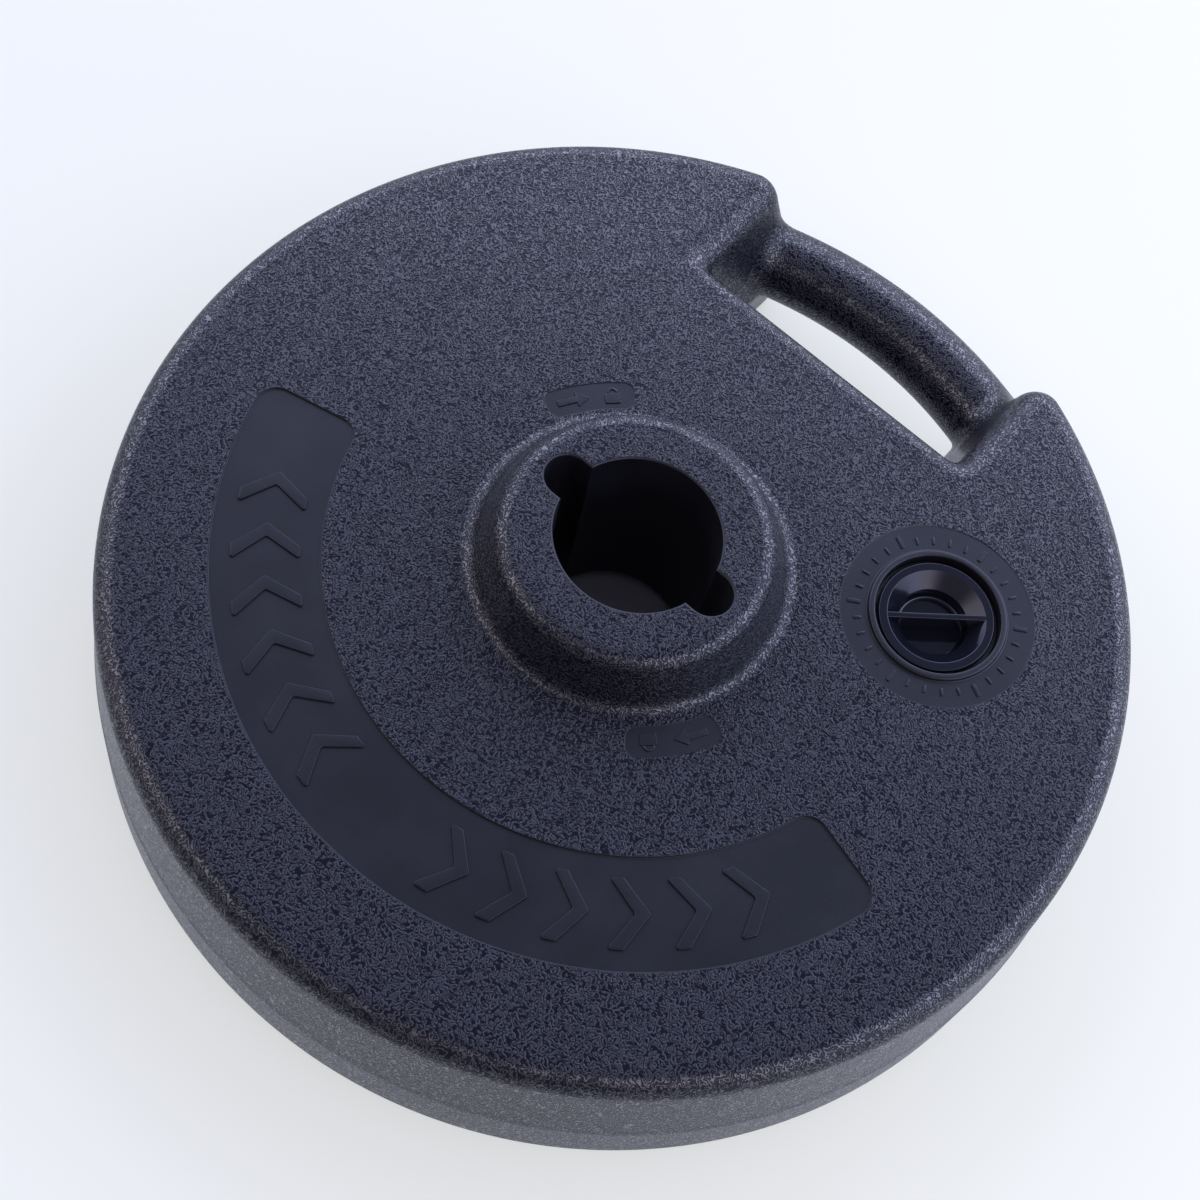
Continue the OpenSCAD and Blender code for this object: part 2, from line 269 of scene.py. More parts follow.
class Builder:
    def __init__(self, tree, place):
        self.nodes, self.links = tree.nodes, tree.links
        self.place = self.nodes.new("ShaderNodeTexCoord").outputs[place]

    # Settings first, then values or links of the sockets; gives the chosen output
    def node(self, kind, settings, inputs, out=0):
        made = self.nodes.new(kind)
        for key, value in settings.items():
            setattr(made, key, value)
        for key, value in inputs.items():
            self.set(made.inputs[key], value)
        return Num(self, made.outputs[out])

    def set(self, socket, value):
        if isinstance(value, Num):
            value = value.socket
        if isinstance(value, bpy.types.NodeSocket):
            self.links.new(value, socket)
        else:
            socket.default_value = value

    def noise(self, scale, detail=2.0, rough=0.5, place=None):
        inputs = {"Vector": place or self.place, "Scale": scale, "Detail": detail, "Roughness": rough}
        return self.node("ShaderNodeTexNoise", {}, inputs)

    # The three parts of a vector
    def parts(self, vector):
        first = self.node("ShaderNodeSeparateXYZ", {}, {0: vector})
        return [Num(self, socket) for socket in first.socket.node.outputs]

    # The place pushed about by a noise of its own
    def stirred(self, scale, reach):
        push = self.node("ShaderNodeTexNoise", {}, {"Vector": self.place, "Scale": scale}, "Color")
        middle = (0.5, 0.5, 0.5)
        push = self.node("ShaderNodeVectorMath", {"operation": "SUBTRACT"}, {0: push, 1: middle})
        push = self.node("ShaderNodeVectorMath", {"operation": "SCALE"}, {0: push, "Scale": reach})
        return self.node("ShaderNodeVectorMath", {"operation": "ADD"}, {0: self.place, 1: push})

    def blend(self, factor, first, second):
        inputs = {"Factor": factor, "A": first, "B": second}
        return self.node("ShaderNodeMix", {"data_type": "RGBA"}, inputs, 2)

    def bump(self, height, distance):
        return self.node("ShaderNodeBump", {}, {"Height": height, "Distance": distance, "Strength": 1.0})

    # One kind of ray, such as Is Camera Ray: 1 for a ray of that kind and 0 for the others
    def ray(self, kind):
        return self.node("ShaderNodeLightPath", {}, {}, kind)


class Finish(Builder):
    def __init__(self, name, constants):
        self.material = bpy.data.materials.new(name)
        self.material.use_nodes = True
        super().__init__(self.material.node_tree, "Object")
        self.shader = self.nodes["Principled BSDF"]
        for key, value in constants.items():
            self.shader.inputs[key].default_value = value

    def feed(self, **inputs):
        for key, value in inputs.items():
            self.set(self.shader.inputs[key.replace("_", " ")], value)


print("finishes")
# Scales are in cycles for each metre, reaches and depths in metres. A step and a width are shares of
# the noise's own range.
specularTint = (0.80, 0.80, 1.0, 1)
# In the grain, the low colour is painted shade in the valleys, and the top colour is partly wear and
# partly a painted sheen
grainLook = {
    "low": (0.0022, 0.0025, 0.0062, 1), "top": (0.0105, 0.0112, 0.0220, 1), "ior": 1.38,
    "scale": 370.0, "step": 0.085, "reliefWidth": 0.068, "topWidth": 0.043, "deep": 0.00019,
    "stirScale": 700.0, "stirReach": 0.0007, "fineScale": 2400.0, "fineShare": 0.07,
    "broadScale": 14.0, "rough": 0.24, "roughMore": 0.08, "coatRough": 0.24, "coatIor": 1.75,
}
# Pale colour and band of the painted highlight along the parting ledge
ledgeHighlightLook = {
    "colour": (0.090, 0.090, 0.100, 1), "fade": 0.0004, "barFrom": 0.134, "barFull": 0.136,
    "barInside": 0.0500, "barOutside": 0.05148,
}
satinLook = {
    "low": (0.0040, 0.0044, 0.0062, 1), "top": (0.0070, 0.0075, 0.0105, 1), "ior": 1.46,
    "flowScale": 38.0, "flowFrom": 0.3, "flowTo": 0.75, "fineScale": 1500.0, "fineShare": 0.6,
    "rough": 0.35, "roughMore": 0.06, "deep": 0.00004,
}
glossLook = {
    "colour": (0.0055, 0.0062, 0.0115, 1), "ior": 1.5, "flowScale": 60.0, "rough": 0.08,
    "roughMore": 0.05, "scuffScale": 900.0, "scuffFrom": 0.62, "scuffTo": 0.8, "scuffRough": 0.10,
    "deep": 0.00012,
}
rubberLook = {
    "low": (0.012, 0.012, 0.013, 1), "top": (0.030, 0.030, 0.032, 1), "ior": 1.5, "scale": 2200.0,
    "rough": 0.62, "roughMore": 0.2, "deep": 0.00005,
}


# A painted highlight: a pale line round the drum at the height of its parting ledge, where light
# catches the ledge, but not on the grip's bar, which stands between the gap's ends
def paintedLedgeHighlight(f):
    p = ledgeHighlightLook
    across, along, up = f.parts(f.place)
    low = drum["partingHeight"] * mm
    high = (drum["partingHeight"] + drum["partingRise"]) * mm
    between = (across * across).ramp(p["barInside"] ** 2, p["barOutside"] ** 2, 1.0, 0.0)
    onBar = along.ramp(p["barFrom"], p["barFull"]) * between
    return up.ramp(low - p["fade"], low) * up.ramp(high, high + p["fade"], 1.0, 0.0) * (1.0 - onBar)


# Moulded pebble grain: worm-like ridges along evenly spaced levels of a stirred noise, with glossier
# tops. The tops' paler colour is partly wear and partly a painted sheen, and the valleys' dark colour is
# painted shade.
def grainedPlastic():
    p = grainLook
    f = Finish("grainedPlastic", {"Specular Tint": specularTint, "IOR": p["ior"],
                                  "Coat Roughness": p["coatRough"], "Coat IOR": p["coatIor"]})
    place = f.stirred(p["stirScale"], p["stirReach"])
    levels = f.noise(p["scale"], 1.0, 0.6, place).math("PINGPONG", p["step"])
    fine = f.noise(p["fineScale"], 1.0)
    broad = f.noise(p["broadScale"])
    relief = levels.ramp(0.0, p["reliefWidth"], 1.0, 0.0)
    # The top mask picks out the ridges for the coat and for their paler colour, which is partly wear and
    # partly a painted sheen
    top = levels.ramp(0.0, p["topWidth"], 1.0, 0.0)
    # The parting ledge is painted pale over the grain, as a painted highlight
    colour = f.blend(paintedLedgeHighlight(f), f.blend(top, p["low"], p["top"]), ledgeHighlightLook["colour"])
    height = relief * (1.0 - p["fineShare"]) + fine * p["fineShare"]
    f.feed(Base_Color=colour, Roughness=p["rough"] + broad * p["roughMore"], Coat_Weight=top,
           Normal=f.bump(height, p["deep"]))
    return f.material


# Smooth moulded face of the band, the pads, the lip and the socket, with faint flow marks
def satinPlastic():
    p = satinLook
    f = Finish("satinPlastic", {"Specular Tint": specularTint, "IOR": p["ior"]})
    flow = f.noise(p["flowScale"], 3.0, 0.6)
    fine = f.noise(p["fineScale"])
    height = fine * p["fineShare"] + flow * (1.0 - p["fineShare"])
    f.feed(Base_Color=f.blend(flow.ramp(p["flowFrom"], p["flowTo"]), p["low"], p["top"]),
           Roughness=p["rough"] + flow * p["roughMore"], Normal=f.bump(height, p["deep"]))
    return f.material


# Polished plastic of the plug, a little duller where fingers have scuffed it
def glossPlastic():
    p = glossLook
    f = Finish("glossPlastic", {"Specular Tint": specularTint, "IOR": p["ior"]})
    flow = f.noise(p["flowScale"])
    scuff = f.noise(p["scuffScale"], 3.0, 0.7).ramp(p["scuffFrom"], p["scuffTo"])
    f.feed(Base_Color=p["colour"], Normal=f.bump(flow, p["deep"]),
           Roughness=p["rough"] + flow * p["roughMore"] + scuff * p["scuffRough"])
    return f.material


def sealRubber():
    p = rubberLook
    f = Finish("sealRubber", {"IOR": p["ior"]})
    fine = f.noise(p["scale"], 3.0)
    f.feed(Base_Color=f.blend(fine, p["low"], p["top"]), Roughness=p["rough"] + fine * p["roughMore"],
           Normal=f.bump(fine, p["deep"]))
    return f.material


grained, satin = grainedPlastic(), satinPlastic()
gloss, rubber = glossPlastic(), sealRubber()

parting, ledgeTop = drum["partingHeight"], drum["partingHeight"] + drum["partingRise"]
wallDraft = atan((drum["partingRadius"] - drum["ledge"] - drum["deckRadius"]) / (deck - ledgeTop))


# The drum's radius at a height: a drafted wall, the parting ledge and the foot's wall under it
def wallRadius(z):
    upper = drum["deckRadius"] + (deck - z) * tan(wallDraft)
    step = drum["partingRadius"] - (z - parting) / drum["partingRise"] * drum["ledge"]
    lower = drum["footRadius"] - z / parting * (drum["footRadius"] - drum["partingRadius"])
    return np.where(z > ledgeTop, upper, np.where(z > parting, step, lower))


# Half the hand gap's width at a height: it opens both upward and downward from the parting
def gapHalf(z):
    above = z - parting
    slope = np.where(above > 0, tan(radians(handGap["draft"])), -tan(radians(handGap["lowDraft"])))
    return handGap["halfWidth"] + above * slope


def smooth(t):
    return t * t * (3 - 2 * t)


# How many columns each part of the half outline has. The parts are the outer arc, the horn's arc,
# the gap's end, the corner's arc and half of the gap's wall. The gap's end gets its own further down.
partColumns = [150, 14, 0, 12, 26]


# One row of the drum's outline, for the half with x over 0 and then mirrored. A column is a part's
# number and a share along that part. Each size and height is one number or one for each column.
def outlineRow(radius, half, wallY, horn, corner, zOuter, zEnd, zWall):
    part, share = columns
    hornX = half + horn
    hornY = np.sqrt((radius - horn) ** 2 - hornX ** 2)
    hornA = np.arctan2(hornY, hornX)
    onOuter = -pi / 2 + share * (hornA + pi / 2)
    onHorn = hornA + share * (pi - hornA)
    onCorner = -share * pi / 2
    x = np.choose(part, [radius * np.cos(onOuter), hornX + horn * np.cos(onHorn), half,
                         half - corner + corner * np.cos(onCorner), (half - corner) * (1 - share)])
    y = np.choose(part, [radius * np.sin(onOuter), hornY + horn * np.sin(onHorn),
                         hornY + share * (wallY + corner - hornY),
                         wallY + corner + corner * np.sin(onCorner), wallY])
    z = np.choose(part, [zOuter, zOuter + smooth(share) * (zEnd - zOuter), zEnd,
                         zEnd + smooth(share) * (zWall - zEnd), zWall])
    row = np.stack([x, y, z], -1)
    mirrored = row[1:-1][::-1] * [-1, 1, 1]
    return np.concatenate([row, mirrored])


# Columns of the half outline, and which of them stand on the foot ring. On the gap's end, one column
# stands on the ring's inner edge and the next on the raised panel's edge.
def outlineColumns():
    foot, recess = drum["footRound"], handGap["recessRound"]
    half = gapHalf(0.0) + foot
    horn = handGap["hornRound"]
    radius = drum["footRadius"] - foot
    top = sqrt((radius - horn) ** 2 - (half + horn) ** 2)
    low = handGap["wallY"] + handGap["cornerRound"]
    ringShare = (top - sqrt(drum["footRingIn"] ** 2 - half ** 2)) / (top - low)
    inHalf = gapHalf(0.0) + recess
    panelShare = (top - sqrt(drum["panelRadius"] ** 2 - inHalf ** 2)) / (top - low)
    shares = np.concatenate([np.linspace(0, ringShare, 9), np.linspace(panelShare, 1, 9)])
    part, share = [], []
    for k, n in enumerate(partColumns):
        steps = shares if k == 2 else np.linspace(0, 1, n + 1)
        steps = steps if k == 4 else steps[:-1]
        part.append(np.full(len(steps), k))
        share.append(steps)
    part, share = np.concatenate(part), np.concatenate(share)
    onRing = np.where((part < 2) | ((part == 2) & (share <= ringShare + 1e-6)), 1.0, 0.0)
    return (part, share), onRing


columns, onRing = outlineColumns()
ringEnd = int(onRing.sum()) - 1


# The drum's outer skin: deck edge, side wall, parting ledge, foot and the walls of the hand gap
def drumWall(skin):
    draft, endDraft = pi / 2 - wallDraft, radians(90 - handGap["draft"])
    r, re, rw = drum["edgeRound"], handGap["endRound"], handGap["wallRound"]
    zEdge, zEndEdge, zWallEdge = deck - r, deck - re, deck - rw
    outerMiddle = float(wallRadius(zEdge)) - r / cos(wallDraft)
    endMiddle = float(gapHalf(zEndEdge)) + re / cos(radians(handGap["draft"]))
    wallY, horn, corner = handGap["wallY"], handGap["hornRound"], handGap["cornerRound"]
    rows = []
    for t in np.linspace(0, 1, 13):
        s = sin(t * pi / 2)
        rows.append(outlineRow(
            outerMiddle + r * sin(t * draft), endMiddle - re * sin(t * endDraft), wallY - rw * (1 - s),
            max(handGap["hornLeast"], horn - r + r * s), corner + rw * (1 - s),
            zEdge + r * cos(t * draft), zEndEdge + re * cos(t * endDraft),
            zWallEdge + rw * cos(t * pi / 2)))
    # Rows close to each edge of the ledge keep it crisp
    heights = [*drum["wallRows"], ledgeTop + 0.5, ledgeTop + 0.1, ledgeTop - 0.1,
               parting + 0.1, parting - 0.1, parting - 0.5]
    for z in heights:
        rows.append(outlineRow(float(wallRadius(z)), float(gapHalf(z)), wallY, horn, corner, z, z, z))
    # The wall ends lower on the foot ring than at the raised panel
    footRound = handGap["recessRound"] + onRing * (drum["footRound"] - handGap["recessRound"])
    low = drum["panelHeight"] * (1 - onRing)
    wallEnd = low + footRound
    for share in (0.1, 0.35, 0.65, 1.0):
        z = heights[-1] + share * (wallEnd - heights[-1])
        rows.append(outlineRow(wallRadius(z), gapHalf(z), wallY, horn, corner, z, z, z))
    for a in np.linspace(0, pi / 2, 7)[1:]:
        inset = footRound * (1 - cos(a))
        z = low + footRound * (1 - sin(a))
        rows.append(outlineRow(wallRadius(wallEnd) - inset, gapHalf(wallEnd) + inset, wallY - inset,
                               horn - inset, corner + inset, z, z, z))
    rows = np.array(rows)
    skin.grid(rows, 0)
    return rows[0], rows[-1]


# The underside: the foot ring, the slope up from it and the raised panel round the socket's mouth
def underside(skin, outline, mouth):
    n = len(outline)
    ringA, panelA = outline[ringEnd], outline[ringEnd + 1]
    ringB, panelB = outline[n - ringEnd], outline[n - ringEnd - 1]
    turns = []
    for first, last, z in ((ringA, ringB, 0.0), (panelA, panelB, drum["panelHeight"])):
        start = atan2(first[1], first[0])
        end = atan2(last[1], last[0]) - 2 * pi
        arc = atHeight(arcOf(0, 0, hypot(first[0], first[1]), start, end, 140), z)
        arc[0], arc[-1] = first, last
        turns.append(arc)
    skin.grid(np.array(turns), 0, ring=False)
    outer = np.concatenate([outline[n - ringEnd:], outline[:ringEnd + 1]])
    skin.flat([np.concatenate([outer, turns[0][1:-1]])], 0)
    inner = outline[ringEnd + 1:n - ringEnd]
    skin.flat([np.concatenate([inner, turns[1][::-1][1:-1]]), mouth], 0)


# The socket's plan: a circle with two keyways with round ends, all grown by one amount
def socketLoop(grow, z):
    r, h, cx = hub["socketRadius"] + grow, hub["keyHalf"] + grow, hub["keyCentre"]
    a = asin(h / r)
    side = r * cos(a)
    run = np.linspace(cx, side, 4)[1:-1]
    half = np.concatenate([arcOf(cx, 0, h, -pi / 2, pi / 2, 24), np.column_stack([run, 0 * run + h]),
                           arcOf(0, 0, r, a, pi - a, 64), np.column_stack([-run[::-1], 0 * run + h])])
    return atHeight(np.concatenate([half, -half]), z)


# The hub's cone with its round edge and foot, and the keyed socket down to its flared lower mouth
def hubAndSocket(skin):
    lip, top, flare, low = hub["lipRound"], hub["top"], hub["mouthFlare"], drum["panelHeight"]
    rows = [socketLoop(lip * (1 - sin(a)), top - lip * (1 - cos(a))) for a in np.linspace(0, pi / 2, 6)]
    rows += [socketLoop(0, z) for z in (*hub["socketRows"], low + flare)]
    rows += [socketLoop(flare * s, low + flare * (1 - s)) for s in (0.25, 0.5, 0.75, 1)]
    rows = np.array(rows)
    skin.grid(rows, 1)
    footX = hub["topRadius"] + (top - deck) * tan(radians(hub["draft"]))
    profile = rounded([(0, top, 0), (hub["topRadius"], top, hub["edgeRound"]),
                       (footX, deck, hub["baseRound"]), (drum["footRadius"], deck, 0)], step=6)[1:-1]
    side = turned(profile, around=256)
    skin.grid(side, 0)
    skin.flat([side[0], rows[0]], 0)
    return side[-1], rows[-1]


# A sunk patch of the deck with a smooth floor; gives its rim, for the hole in the deck
def sunkPatch(skin, shape, turn):
    loop = spun(arcPatch(shape), turn)
    deep, soft = shape["deep"], shape["soft"]
    a = np.linspace(0, pi / 2, 5)
    steps = [(soft * sin(t), deck - (1 - cos(t)) * deep / 2) for t in a]
    steps += [(soft + soft * (1 - cos(t)), deck - deep / 2 - sin(t) * deep / 2) for t in a[1:]]
    rows = insetRows(loop, steps)
    skin.grid(rows, 1)
    skin.flat([rows[-1]], 1)
    return rows[0]


# The fill neck: sunk pad, raised lip, seat and bore, over a well that stands for the tank
def fillNeck(skin):
    n = neck
    pad = deck - n["padDeep"]
    tube = n["boreRadius"] + n["wall"]
    profile = rounded([
        (n["padRadius"], deck, 0), (n["padRadius"] - n["padSlope"], pad, 0.2),
        (n["lipRadius"] + n["lipSlope"], pad, 0.6), (n["lipRadius"], n["lipTop"], 1.0),
        (n["mouthRadius"], n["lipTop"], 0.7), (n["mouthRadius"], n["seat"], 0.4),
        (n["boreRadius"], n["seat"], 0.4), (n["boreRadius"], n["bottom"], 0.5),
        (tube, n["bottom"], 0.5), (tube, n["wellTop"], 0), (n["wellRadius"], n["wellTop"], 0),
        (n["wellRadius"], n["wellLow"], 0)], step=14)
    rows = turned(profile, neckX, neckY, 160)
    skin.grid(rows, 1)
    skin.cone(rows[-1], (neckX, neckY, n["wellLow"]), 1)
    return rows[0]


# The carrying grip: a bar swept along an arc about the socket's axis. Its ends flare onto the gap's
# end walls and the round horns along a curve tangent to both.
def gripBar(skin):
    around, along = 72, 72
    v = np.arange(around) * 2 * pi / around
    path, r, low = grip["pathRadius"], grip["barRadius"], grip["flareBelow"]
    flare = low + smooth(0.5 + 0.5 * np.sin(v)) * (grip["flareAbove"] - low)

    # Polar angle at which a circle of each radius meets the end wall, on the side with x over 0
    def wallAngle(rho, z):
        radius, half, horn = wallRadius(z), gapHalf(z), handGap["hornRound"]
        far = radius - horn
        hornX = half + horn
        hornY = np.sqrt(far ** 2 - hornX ** 2)
        onWall = np.arccos(np.clip(half / rho, -1, 1))
        share = np.clip((rho ** 2 + far ** 2 - horn ** 2) / (2 * rho * far), -1, 1)
        onHorn = np.arctan2(hornY, hornX) + np.arccos(share)
        return np.where(rho * np.sin(onWall) < hornY, onWall, onHorn)

    # Radius and height of each point of a section, which stays just under the drum's own wall
    def section(size):
        rho = path + size * np.cos(v)
        z = grip["height"] + size * np.sin(v)
        return np.minimum(rho, wallRadius(z) - grip["belowWall"]), z

    def place(rho, angle, z):
        return np.stack([rho * np.cos(angle), rho * np.sin(angle), z + 0 * rho], -1)

    # The flare goes from a, on the bar, to b, on the wall, drawn toward c, where bar and wall meet
    rho, z = path + r * np.cos(v), grip["height"] + r * np.sin(v)
    rhoC, zC = section(r)
    rhoB, zB = section(r + flare)
    angleC, angleB = wallAngle(rhoC, zC), wallAngle(rhoB, zB)
    angleA = angleC + flare * grip["flareLength"] / rho
    a, c, b = place(rho, angleA, z), place(rhoC, angleC, zC), place(rhoB, angleB, zB)
    rows = []
    for t in np.linspace(0, 1, 12):
        wa, wc, wb = (1 - t) ** 2, 2 * grip["hug"] * t * (1 - t), t * t
        rows.append((a * wa + c * wc + b * wb) / (wa + wc + wb))
    right = [place(rhoB, angleB - grip["sunk"] / rhoB, zB)] + rows[::-1]
    shares = np.linspace(0, 1, along + 1)[1:-1]
    middle = [place(rho, angleA + t * (pi - 2 * angleA), z) for t in shares]
    left = [row * [-1, 1, 1] for row in right[::-1]]
    tube = np.array(right + middle + left)
    skin.grid(tube, 0)
    # Each end closes inside the drum, a little further on than the wall
    tipAngle = angleC.mean() - grip["tipTurn"]
    tip = np.array([path * cos(tipAngle), path * sin(tipAngle), grip["height"]])
    skin.cone(tube[0], tip, 0)
    skin.cone(tube[-1], tip * [-1, 1, 1], 0)


# A raised mark on a counterclockwise outline: it starts a little under its floor, and its upper edge
# is softened
def raisedMark(skin, outline, low, high, finish, soft):
    under, bevel = 0.15, soft * 0.35
    steps = [(0, low - under), (0, high - soft), (bevel, high - bevel), (soft, high)]
    rows = insetRows(atHeight(outline, low), steps)
    skin.grid(rows, finish)
    skin.flat([rows[-1]], finish)
    skin.flat([rows[0]], finish)


# A mark on the floor of a sunk patch: each point's distance along the patch is bent round the
# socket's axis, from one angle, and its distance outward counts from the patch's middle line
def bentMark(skin, shape, angle, along, outward, high, soft):
    middle = (shape["inner"] + shape["outer"]) / 2
    floor = deck - shape["deep"]
    a, r = radians(angle) + along / middle, middle + outward
    x, y = r * np.cos(a), r * np.sin(a)
    loop = np.column_stack([x, y])
    area = np.sum(x * np.roll(y, -1) - y * np.roll(x, -1))
    raisedMark(skin, loop if area > 0 else loop[::-1], floor, floor + high, 1, soft)


# Chevrons in the sunk band, which point away from its middle on both sides
def chevrons(skin):
    m = chevron
    h, w, s = m["halfTall"], m["reach"], m["stroke"]
    tip, bend = m["tipRound"], m["bendRound"]
    points = rounded([(-h, 0, tip), (-h, -s, tip), (0, w - s, bend), (h, -s, tip), (h, 0, tip),
                      (0, w, bend)], closed=True, step=30)
    outward, along = points[:, 0], points[:, 1] - w / 2
    for side in (-1, 1):
        for k in range(m["count"]):
            angle = band["middle"] + side * (m["firstAngle"] + k * m["step"])
            bentMark(skin, band, angle, side * along, outward, m["high"], m["soft"])


def boxLoop(x0, y0, x1, y1, r, step=30):
    return rounded([(x0, y0, r), (x1, y0, r), (x1, y1, r), (x0, y1, r)], closed=True, step=step)


# Dial ticks on the pad round the neck, some of them longer
def dialTicks(skin):
    d = dial
    floor = deck - neck["padDeep"]
    for k in range(d["ticks"]):
        tall, wide = (d["short"], d["shortHalf"]) if k % d["longEach"] else (d["long"], d["longHalf"])
        loop = boxLoop(d["start"], -wide, d["start"] + tall, wide, d["round"])
        loop = spun(loop, k * 360 / d["ticks"] + neck["angle"]) + [neckX, neckY]
        raisedMark(skin, loop, floor, floor + d["high"], 1, d["soft"])


# A turning arrow and a padlock on a pad beside the hub
def lockMarks(skin, turn):
    m = lockSign
    tail, foot, tip, r = m["arrowTail"], m["arrowNeck"], m["arrowTip"], m["round"]
    shaft, head = m["shaftHalf"], m["headHalf"]
    arrow = rounded([(tail, -shaft, r), (tail, shaft, r), (foot, shaft, r), (foot, head, r),
                     (tip, 0, m["tipRound"]), (foot, -head, r), (foot, -shaft, r)], closed=True, step=30)
    left, right, top = m["bodyLeft"], m["bodyRight"], m["bodyTop"]
    body = boxLoop(left, m["bodyLow"], right, top, m["bodyRound"])
    middle, angle = (left + right) / 2, lockPad["middle"] + turn
    shackle = np.concatenate([arcOf(middle, top, m["shackleOut"], 0, pi, 14),
                              arcOf(middle, top, m["shackleIn"], pi, 0, 14)])
    for points in (arrow, body, shackle):
        bentMark(skin, lockPad, angle, points[:, 0], points[:, 1], m["high"], m["soft"])


# A thread ridge: a rounded section carried along a helix about the neck's axis, tapered at its ends
def threadRidge(skin, radius, height, low, high, phase, finish):
    turns = (high - low) / thread["pitch"]
    t = np.linspace(0, 1, round(turns * 72))[:, None]
    a = 2 * pi * turns * t + phase
    section = np.linspace(-1, 1, 9)[None, :]
    fade = np.minimum(1, np.minimum(t, 1 - t) * turns / thread["endTurns"])
    r = radius + height * fade * (1 - section ** 2) - np.sign(height) * thread["sunk"]
    z = low + (high - low) * t + section * thread["halfWidth"]
    face = np.stack([neckX + r * np.cos(a), neckY + r * np.sin(a), z + 0 * r], -1)
    back = face[:, [-1, 0]]
    skin.grid(face, finish, ring=False)
    skin.grid(back, finish, ring=False)
    for row in (face[0], face[-1]):
        skin.cone(row, row.mean(0), finish)


print("drum shell")
shell = Skin()
deckEdge, footEdge = drumWall(shell)
hubFoot, socketMouth = hubAndSocket(shell)
underside(shell, footEdge, socketMouth)
holes = [hubFoot, sunkPatch(shell, band, band["middle"])]
holes += [sunkPatch(shell, lockPad, lockPad["middle"] + turn) for turn in (0, 180)]
holes.append(fillNeck(shell))
shell.flat([deckEdge] + holes, 0)
gripBar(shell)
chevrons(shell)
dialTicks(shell)
lockMarks(shell, 0)
lockMarks(shell, 180)
threadRidge(shell, neck["boreRadius"], -thread["deep"], neck["threadLow"], neck["threadTop"], pi, 1)
shell.piece("drumShell", [grained, satin], "base", "base_shell")


# The screw plug: a turned head, cup and hollow shank with a bar across the cup for the fingers
def screwPlug():
    skin = Skin()
    p = plug
    bore, under = p["shankRadius"] - p["wall"], p["cupFloor"] - p["wall"]
    profile = rounded([
        (0, p["cupFloor"], 0), (p["floorRadius"], p["cupFloor"], 1.6),
        (p["floorRadius"], p["coneLow"], 0.5), (p["cupRadius"], p["face"], 0.45),
        (p["headRadius"], p["face"], 0.8), (p["headRadius"], p["headLow"], 0.4),
        (p["shankRadius"], p["headLow"], 0), (p["shankRadius"], p["shankLow"], 0.8),
        (bore, p["shankLow"], 0.5), (bore, under, 0.8), (0, under, 0)], step=10)
    rows = turned(profile[1:-1], neckX, neckY, 176)
    skin.grid(rows, 0)
    skin.cone(rows[0], (neckX, neckY, p["cupFloor"]), 0)
    skin.cone(rows[-1], (neckX, neckY, under), 0)
    long, wide = p["barHalfLength"], p["barHalfWidth"]
    bar = spun(boxLoop(-long, -wide, long, wide, p["barRound"], 18), p["barAngle"]) + [neckX, neckY]
    raisedMark(skin, bar, p["cupFloor"], p["face"] - p["barBelowFace"], 0, p["barSoft"])
    threadRidge(skin, p["shankRadius"], thread["deep"], p["threadLow"], p["threadTop"], 0.0, 0)
    skin.piece("screwPlug", [gloss], "plug", "fill_plug")


print("plug")
screwPlug()

# The seal stays as the solids have it, with a rubber finish
sealRing = bpy.data.objects["plug_seal"]
sealRing.data.materials.clear()
sealRing.data.materials.append(rubber)

print("camera and light")
view = {
    "lens": 55.506, "sensor": 36.0, "distance": 0.7224, "azimuth": -65.0, "elevation": 65.81,
    "pan": 17.199, "roll": 0.110, "tilt": 1.431, "near": 0.05, "far": 20.0,
}


def cameraFromPhoto():
    data = bpy.data.cameras.new("photoView")
    data.lens, data.sensor_width, data.sensor_fit = view["lens"], view["sensor"], "HORIZONTAL"
    data.clip_start, data.clip_end = view["near"], view["far"]
    camera = bpy.data.objects.new("photoView", data)
    bpy.context.scene.collection.objects.link(camera)
    az, el = radians(view["azimuth"]), radians(view["elevation"])
    toward = (cos(el) * cos(az), cos(el) * sin(az), sin(el))
    place = Matrix.Translation([view["distance"] * k for k in toward])
    turns = ((az + pi / 2, "Z"), (pi / 2 - el, "X"), (radians(view["pan"]), "Z"),
             (radians(view["roll"]), "Y"), (radians(view["tilt"]), "X"))
    for angle, axis in turns:
        place = place @ Matrix.Rotation(angle, 4, axis)
    camera.matrix_world = place
    bpy.context.scene.camera = camera


# Light levels and colours by direction, with angles in degrees
light = {
    "walls": 2.70, "ceiling": 0.24, "wallTop": 48.5, "ceilingFrom": 58.0, "wallFoot": 22.0,
    "footFrom": 0.10, "footLevel": 0.40, "brightWay": 88.0, "slant": 0.42, "frontWay": -80.0,
    "frontDip": 0.80, "dipFrom": 0.50, "dipFull": 0.80, "warm": (0.99, 0.92, 0.95, 1),
    "cool": (0.81, 0.88, 1.13, 1), "warmTo": -0.6, "coolFrom": 0.2, "backdrop": (0.90, 0.93, 0.95, 1),
}
# The floor: sizes in metres, and how much it glows for the camera and in a gloss. The two ways share
# out its left and right colours, over a reach on each side of the socket; the dimmer left colour is
# a painted shadow of the drum, and the colour under the socket is painted shade.
ground = {
    "wayX": 0.9, "wayY": 0.5, "reach": 0.5, "half": 4.0, "rough": 0.6, "cloudScale": 3.0,
    "colour": (0.79, 0.795, 0.78, 1), "cloud": (0.82, 0.825, 0.81, 1),
    "shadeUnderSocket": (0.50, 0.47, 0.56, 1), "socketIn": 0.075, "socketOut": 0.10,
    "glow": 0.62, "glowLeft": (0.75, 0.77, 0.78, 1), "glowRight": (0.900, 0.905, 0.860, 1),
    "inGloss": (0.53, 0.55, 0.64, 1), "glossLeft": 0.85, "glossRight": 0.25, "glossFrom": 0.6,
}
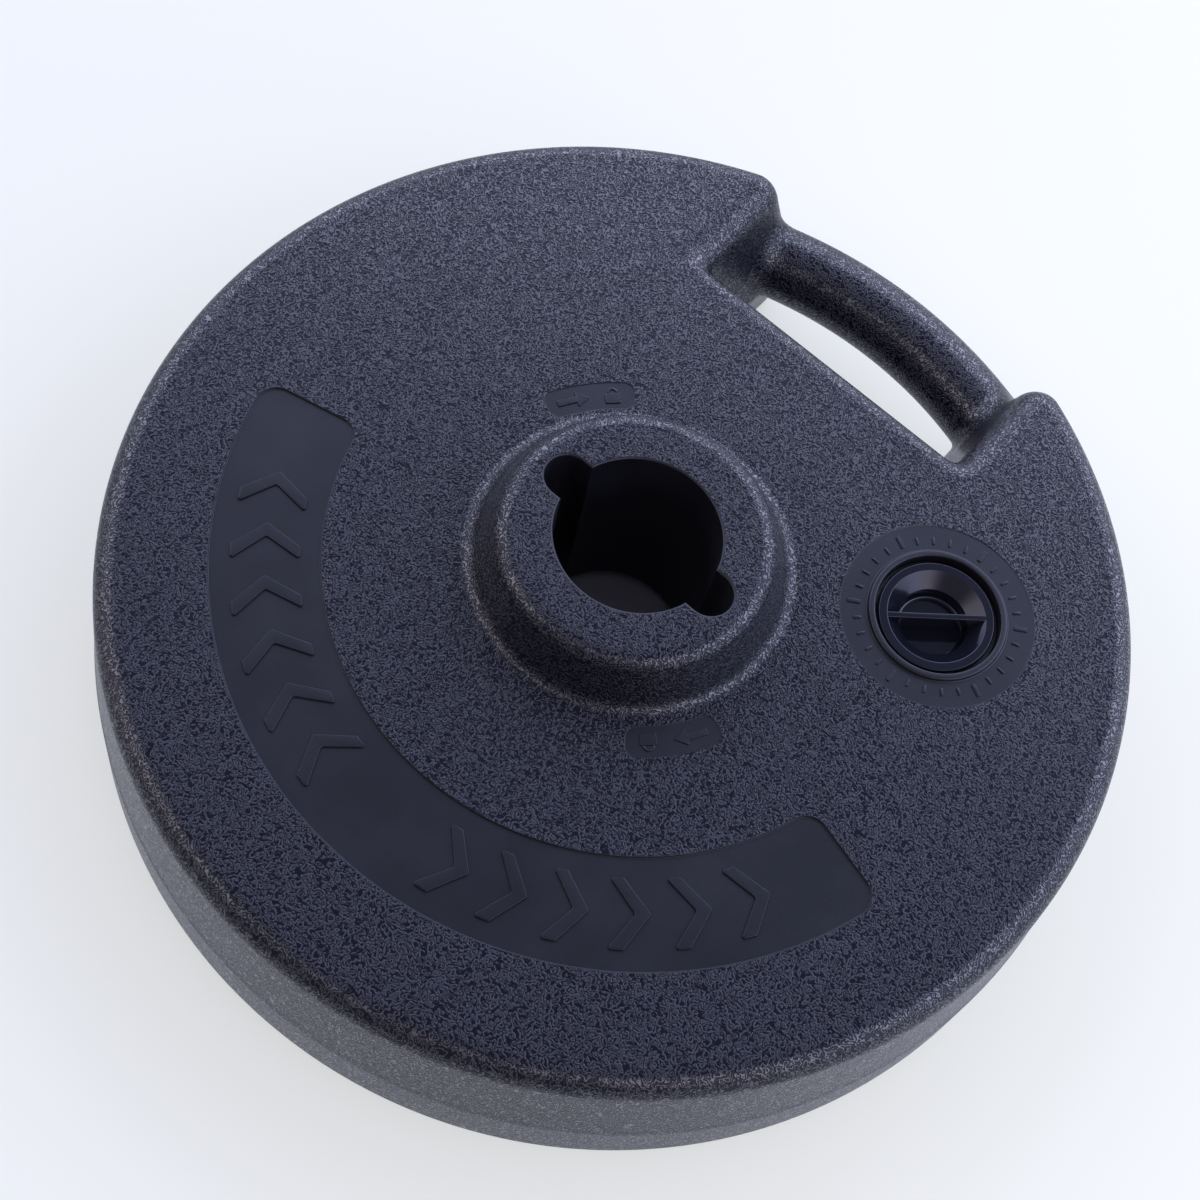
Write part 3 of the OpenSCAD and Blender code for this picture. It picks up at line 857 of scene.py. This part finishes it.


# A pale floor: it takes the shadow, and what sees it directly or in a gloss sees it partly glowing,
# with a dimmer colour at the left, painted as the drum's shadow, and a brighter one at the right.
# It is dull under the socket, and painted darker there as shade.
def paleFloor():
    g = ground
    f = Finish("paleFloor", {"Roughness": g["rough"]})
    across, along = f.parts(f.place)[:2]
    away = f.node("ShaderNodeVectorMath", {"operation": "LENGTH"}, {0: f.place}, "Value")
    clear = away.ramp(g["socketIn"], g["socketOut"])
    colour = f.blend(f.noise(g["cloudScale"], 1.0), g["colour"], g["cloud"])
    # Painted shade: the floor's colour darkens under the socket
    f.feed(Base_Color=f.blend(clear, g["shadeUnderSocket"], colour))
    # The glow dims toward the left as a painted shadow of the drum
    right = (across * g["wayX"] + along * g["wayY"]).ramp(-g["reach"], g["reach"])
    gloss = (f.ray("Is Glossy Ray") + f.ray("Is Transmission Ray")).ramp(0, 1)
    colour = f.blend(gloss, f.blend(right, g["glowLeft"], g["glowRight"]), g["inGloss"])
    glow = f.node("ShaderNodeEmission", {}, {"Color": colour, "Strength": 1.0})
    inGloss = gloss * clear * right.ramp(g["glossFrom"], 1.0, g["glossLeft"], g["glossRight"])
    share = f.ray("Is Camera Ray") * clear * g["glow"] + inGloss
    mixed = f.node("ShaderNodeMixShader", {}, {0: share, 1: f.shader.outputs[0], 2: glow})
    f.links.new(mixed.socket, f.nodes["Material Output"].inputs["Surface"])
    return f.material


# Soft light from all round: bright walls up to a height and a dark ceiling over them. The walls are
# cool and brightest on one side, warm and dimmer on the other, and darker where the camera stands.
# The camera itself sees a plain pale backdrop.
def softRoom():
    world = bpy.data.worlds.new("softRoom")
    world.use_nodes = True
    bpy.context.scene.world = world
    w = Builder(world.node_tree, "Generated")
    x, y, up = w.parts(w.place)

    def toward(azimuth):
        return x * cos(radians(azimuth)) + y * sin(radians(azimuth))

    high, low = sin(radians(light["ceilingFrom"])), sin(radians(light["wallTop"]))
    side = toward(light["brightWay"])
    dip = toward(light["frontWay"]).ramp(light["dipFrom"], light["dipFull"]) * light["frontDip"]
    foot = up.ramp(light["footFrom"], sin(radians(light["wallFoot"])), light["footLevel"], 1.0)
    level = up.ramp(low, high, light["walls"], light["ceiling"]) * (side * light["slant"] + 1.0)
    level = level * (1.0 - dip) * foot
    direct = w.ray("Is Camera Ray")
    colour = w.blend(side.ramp(light["warmTo"], light["coolFrom"]), light["warm"], light["cool"])
    back = world.node_tree.nodes["Background"]
    w.set(back.inputs["Color"], w.blend(direct, colour, light["backdrop"]))
    w.set(back.inputs["Strength"], level * (1.0 - direct) + direct)


def studio():
    softRoom()
    mesh = bpy.data.meshes.new("paleFloor")
    s = ground["half"]
    mesh.from_pydata([(-s, -s, 0), (s, -s, 0), (s, s, 0), (-s, s, 0)], [], [(0, 1, 2, 3)])
    mesh.materials.append(paleFloor())
    sheet = bpy.data.objects.new("paleFloor", mesh)
    bpy.context.scene.collection.objects.link(sheet)


cameraFromPhoto()
studio()
bpy.context.scene.view_settings.view_transform = "Standard"
